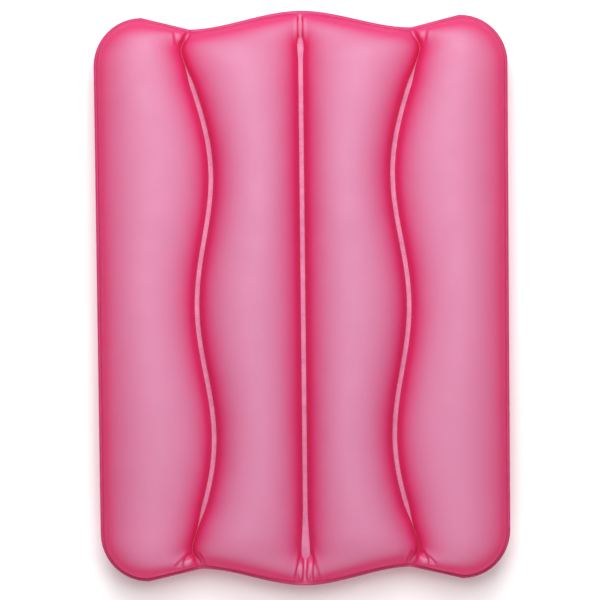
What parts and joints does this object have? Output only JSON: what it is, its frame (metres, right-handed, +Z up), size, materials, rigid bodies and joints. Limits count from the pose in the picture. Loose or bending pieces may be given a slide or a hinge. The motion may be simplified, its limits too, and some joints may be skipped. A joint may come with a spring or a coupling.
{
  "type": "inflatable cushion",
  "caption": "Inflatable rectangular cushion of pink vinyl film, with long chambers divided by straight and wavy welded seams, and a push-in air valve underneath.",
  "frame": {"origin": "middle of the underside, in the plane that the cushion rests on", "axes": "+X across the chambers, +Y along the chambers, +Z up through the thickness"},
  "size_m": [0.274, 0.38, 0.056],
  "materials": {
    "film": "satin translucent pink vinyl",
    "weld": "satin pressed vinyl",
    "valve": "soft cloudy vinyl"
  },
  "bodies": {
    "cushion": {"upper_sheet": "film", "lower_sheet": "film", "perimeter_weld": "weld", "left_seam_weld": "weld", "centre_seam_weld": "weld", "right_seam_weld": "weld", "valve_flange": "valve", "valve_boot": "valve"},
    "stem": {"valve_stem": "valve", "plug_tether": "valve"},
    "plug": {"valve_plug": "valve"},
    "flap": {"check_flap": "valve"}
  },
  "joints": [
    {"name": "valve_pop", "type": "slide", "parent": "cushion", "child": "stem", "axis": [0, 0, -1], "range_m": [0, 0.01], "deforming": ["valve_boot"]},
    {"name": "plug_pull", "type": "slide", "parent": "stem", "child": "plug", "axis": [0, 0, -1], "range_m": [0, 0.012], "deforming": ["plug_tether"]},
    {"name": "flap_open", "type": "hinge", "parent": "stem", "child": "flap", "pos_m": [0.03628, -0.128, 0.0171], "axis": [0, 1, 0], "range_deg": [0, 55], "stiffness_Nm_per_rad": 0.00002, "springref_deg": -5.73}
  ]
}
